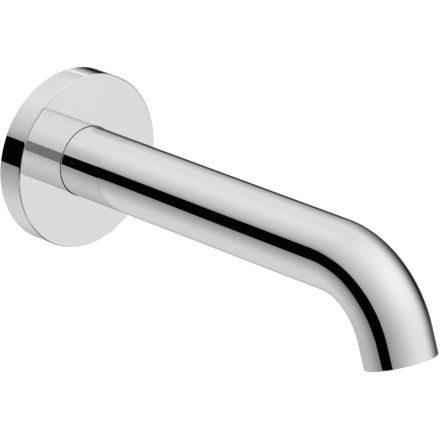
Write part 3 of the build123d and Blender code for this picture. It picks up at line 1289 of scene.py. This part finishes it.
class BATHSPOUT_OT_rosette(Operator):
    """Turn the chrome cover disc"""

    bl_idname = "bath_spout.rosette"
    bl_label = "Rosette"

    def execute(self, context):
        sizes = settings("rosette")
        tail = settings("spout_body").tail
        inside = sizes.front + sizes.front_wall
        rim = sizes.radius - sizes.rim_wall
        collar = sizes.hole_radius + sizes.collar_wall
        outline = rounded([
            (sizes.hole_radius, sizes.front, sizes.hole_rounding),
            (sizes.radius, sizes.front, sizes.edge_rounding),
            (sizes.radius, 0, sizes.back_rounding),
            (rim, 0, sizes.back_rounding),
            (rim, inside, sizes.inside_rounding),
            (collar, inside, sizes.inside_rounding),
            (collar, sizes.lip_back, sizes.back_rounding),
            (sizes.lip_radius, sizes.lip_back, sizes.back_rounding),
            (sizes.lip_radius, tail, sizes.back_rounding),
            (sizes.hole_radius, tail, sizes.back_rounding),
        ])
        mesh, _ = turned(outline, ROSETTE_COLUMNS)
        piece = new_piece("rosette_polished", mesh, finish_of("polished_chrome"))
        stand_for(piece, "rosette")
        return {"FINISHED"}


class BATHSPOUT_OT_nipple(Operator):
    """Turn the brass nipple, press its hexagon and cut its wall thread"""

    bl_idname = "bath_spout.nipple"
    bl_label = "Connection nipple"

    def spigot(self, sizes):
        """Section of the spigot, from the bore to the hexagon."""
        end = sizes.spigot_end
        groove_front = SCREW_ALONG - sizes.groove_half
        groove_back = SCREW_ALONG + sizes.groove_half
        return [
            (sizes.bore_radius, end),
            (sizes.spigot_radius - sizes.spigot_chamfer, end),
            (sizes.spigot_radius, end + sizes.spigot_chamfer),
            (sizes.spigot_radius, groove_front),
            (sizes.groove_radius, groove_front),
            (sizes.groove_radius, groove_back),
            (sizes.spigot_radius, groove_back),
            (sizes.spigot_radius, -sizes.hexagon_thickness),
        ]

    def execute(self, context):
        sizes = settings("nipple")
        finish = finish_of("turned_brass")
        front, chamfer = -sizes.hexagon_thickness, sizes.hexagon_chamfer
        corner_radius = sizes.hexagon_width / math.sqrt(3)
        rows = spaced(0, sizes.thread_end - sizes.lead_in, sizes.pitch / THREAD_ROWS_PER_TURN)
        spigot = self.spigot(sizes)
        hexagon = [(sizes.hexagon_width / 2, along) for along in (front, front + chamfer, -chamfer, 0)]
        thread = [(sizes.thread_radius, row) for row in rows]
        thread.append((sizes.thread_radius - sizes.lead_in, sizes.thread_end))
        thread.append((sizes.bore_radius, sizes.thread_end))
        mesh, rings = turned(spigot + hexagon + thread, NIPPLE_COLUMNS)
        limits = (corner_radius - chamfer, corner_radius, corner_radius, corner_radius - chamfer)
        for ring, limit in zip(rings[len(spigot):], limits):
            press_hexagon(ring, sizes.hexagon_width, limit)
        piece = new_piece("connection_nipple_threaded", mesh, finish)
        threaded(piece, sizes, sizes.thread_radius, 0.0, sizes.thread_end + sizes.pitch, finish)
        stand_for(piece, "connection_nipple")
        return {"FINISHED"}


class BATHSPOUT_OT_seals(Operator):
    """Mould the rubber seals"""

    bl_idname = "bath_spout.seals"
    bl_label = "Seals"

    def execute(self, context):
        sizes = settings("seals")
        body = settings("spout_body")
        finish = finish_of("black_rubber")
        for node in ("o_ring_front", "o_ring_rear"):
            low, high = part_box(node)
            mesh = turned_ring(sizes.inner_radius, high.x, low.y, high.y, sizes.rounding, SEAL_COLUMNS)
            stand_for(new_piece(node + "_moulded", mesh, finish), node)
        top = body.seat_depth
        bottom = top - sizes.gasket_thickness
        inner, outer = sizes.gasket_inner, sizes.gasket_outer
        mesh = turned_ring(inner, outer, bottom, top, sizes.gasket_rounding, SEAL_COLUMNS)
        piece = new_piece("aerator_gasket_moulded", mesh, finish)
        piece.data.transform(at_outlet(body))
        stand_for(piece, "aerator_gasket")
        return {"FINISHED"}


class BATHSPOUT_OT_grub_screw(Operator):
    """Turn the grub screw, cut its thread and press its socket"""

    bl_idname = "bath_spout.grub_screw"
    bl_label = "Grub screw"

    def execute(self, context):
        sizes = settings("grub_screw")
        finish = finish_of("bare_steel")
        radius = SCREW_HIGH.x
        screw_length = SCREW_HIGH.z - SCREW_LOW.z
        tip_chamfer = radius - sizes.tip_radius
        rows = spaced(sizes.chamfer, screw_length - tip_chamfer, sizes.pitch / THREAD_ROWS_PER_TURN)
        outline = [
            (0, sizes.key_depth + sizes.drill_depth),
            (sizes.key_size / 2, sizes.key_depth),
            (sizes.key_size / 2, 0),
            (radius - sizes.chamfer, 0),
            *[(radius, row) for row in rows],
            (sizes.tip_radius, screw_length),
            (0, screw_length),
        ]
        mesh, rings = turned(outline, SCREW_COLUMNS, closed=False)
        for ring in rings[1:3]:
            press_hexagon(ring, sizes.key_size)
        piece = new_piece("grub_screw_threaded", mesh, finish)
        threaded(piece, sizes, radius, -sizes.pitch, screw_length + sizes.pitch, finish)
        head = Matrix.Translation((0, SCREW_ALONG, SCREW_LOW.z))
        piece.data.transform(head @ Matrix.Rotation(math.radians(90), 4, "X"))
        stand_for(piece, "grub_screw")
        return {"FINISHED"}


class BATHSPOUT_OT_aerator(Operator):
    """Mould the aerator's housing with its honeycomb, and finish the strainer"""

    bl_idname = "bath_spout.aerator"
    bl_label = "Aerator"

    def sleeve(self, sizes, finish):
        """Round sleeve with key notches in its lower rim."""
        low, high = sizes.recess, sizes.recess + sizes.housing_length
        outer = sizes.housing_radius
        mesh = turned_ring(sizes.sleeve_radius, outer, low, high, sizes.edge_rounding, HOUSING_COLUMNS)
        pitch = 2 * math.pi / sizes.key_count
        for vertex in mesh.verts:
            if vertex.co.y > low + 2 * sizes.edge_rounding:
                continue
            angle = math.atan2(vertex.co.z, vertex.co.x)
            off_notch = (angle + pitch / 2) % pitch - pitch / 2
            if abs(math.sin(off_notch)) * outer < sizes.key_width / 2:
                vertex.co.y += sizes.key_depth
        return new_piece("aerator_housing_moulded", mesh, finish)

    def honeycomb(self, sizes, finish):
        """Honeycomb floor in the outlet's frame."""
        piece = new_piece("honeycomb_floor", bmesh.new(), finish)
        half_rows = math.ceil(sizes.sleeve_radius / sizes.cell_pitch) + 1
        values = {
            "Plate radius": sizes.sleeve_radius,
            "Thickness": sizes.floor_thickness - sizes.floor_recess,
            "Pitch": sizes.cell_pitch,
            "Web": sizes.cell_web,
            "Rows": 2 * half_rows + 1,
            "Finish": finish,
        }
        shaped(piece, "honeycomb_floor", values)
        lift = Matrix.Translation((0, sizes.recess + sizes.floor_recess, 0))
        piece.data.transform(lift @ Matrix.Rotation(math.radians(-90), 4, "X"))
        return piece

    def execute(self, context):
        sizes = settings("aerator")
        finish = finish_of("grey_plastic")
        piece = joined(self.sleeve(sizes, finish), self.honeycomb(sizes, finish))
        piece.data.transform(at_outlet(settings("spout_body")))
        smooth(piece)
        stand_for(piece, "aerator_housing")
        for slot in frame["nodes"]["aerator_strainer"].material_slots:
            slot.material = finish_of("white_plastic")
        return {"FINISHED"}


class BATHSPOUT_OT_studio(Operator):
    """Set up the camera, the pale floor, the soft lamp and what the metal mirrors"""

    bl_idname = "bath_spout.studio"
    bl_label = "Studio"

    def camera(self, scene, studio):
        """Camera at the photograph's viewing angle."""
        lens = bpy.data.cameras.new("camera")
        lens.lens = studio.lens
        lens.clip_end = studio.sight
        camera = bpy.data.objects.new("camera", lens)
        level = math.cos(studio.elevation)
        across, along = math.sin(studio.azimuth) * level, -math.cos(studio.azimuth) * level
        back = Vector((across, along, math.sin(studio.elevation)))
        camera.location = Vector(studio.aim) + back * studio.distance
        camera.rotation_euler = (-back).to_track_quat("-Z", "Y").to_euler()
        scene.collection.objects.link(camera)
        scene.camera = camera

    def floor(self, studio):
        """Large pale floor far below the spout."""
        mesh = bmesh.new()
        bmesh.ops.create_circle(mesh, cap_ends=True, radius=studio.floor_radius, segments=FLOOR_COLUMNS)
        floor = new_piece("floor", mesh, finish_of("pale_floor"))
        floor.location.z = -studio.floor_drop
        floor.visible_glossy = False

    def lamp(self, scene, studio):
        """Broad soft lamp above, which models the matt pieces and stays out of the mirror images."""
        light = bpy.data.lights.new("soft_lamp", "AREA")
        light.energy = studio.lamp_power
        light.size = studio.lamp_size
        lamp = bpy.data.objects.new("soft_lamp", light)
        lamp.location = studio.lamp_place
        lamp.rotation_euler = (-lamp.location).to_track_quat("-Z", "Y").to_euler()
        lamp.visible_glossy = False
        lamp.visible_camera = False
        scene.collection.objects.link(lamp)

    def execute(self, context):
        studio = settings("studio")
        context.scene.view_settings.view_transform = "Standard"
        self.camera(context.scene, studio)
        self.floor(studio)
        hang_left_flags()
        hang_right_flag()
        hang_rim_light()
        hang_edge_flag()
        hang_painted_sheet()
        self.lamp(context.scene, studio)
        build_world(context.scene, studio)
        return {"FINISHED"}


class BATHSPOUT_PT_pieces(Panel):
    """Lists the spout's pieces and its studio"""

    bl_idname = "BATHSPOUT_PT_pieces"
    bl_label = "Bath spout"
    bl_space_type = "VIEW_3D"
    bl_region_type = "UI"
    bl_category = "Bath spout"

    def draw(self, context):
        for operator in OPERATORS:
            self.layout.operator(operator.bl_idname)


OPERATORS = (
    BATHSPOUT_OT_body,
    BATHSPOUT_OT_rosette,
    BATHSPOUT_OT_nipple,
    BATHSPOUT_OT_seals,
    BATHSPOUT_OT_grub_screw,
    BATHSPOUT_OT_aerator,
    BATHSPOUT_OT_studio,
)
CLASSES = (*PROPERTY_GROUPS.values(), *OPERATORS, BATHSPOUT_PT_pieces)


def register():
    """Registers the classes and gives each scene the property groups."""
    for kind in CLASSES:
        bpy.utils.register_class(kind)
    for name, group in PROPERTY_GROUPS.items():
        setattr(bpy.types.Scene, PREFIX + name, PointerProperty(type=group))


def unregister():
    """Takes the property groups and the classes away again."""
    for name in PROPERTY_GROUPS:
        delattr(bpy.types.Scene, PREFIX + name)
    for kind in reversed(CLASSES):
        bpy.utils.unregister_class(kind)


def main():
    """Builds every piece and the studio."""
    register()
    bpy.ops.bath_spout.body()
    bpy.ops.bath_spout.rosette()
    bpy.ops.bath_spout.nipple()
    bpy.ops.bath_spout.seals()
    bpy.ops.bath_spout.grub_screw()
    bpy.ops.bath_spout.aerator()
    bpy.ops.bath_spout.studio()


if __name__ == "__main__":
    main()
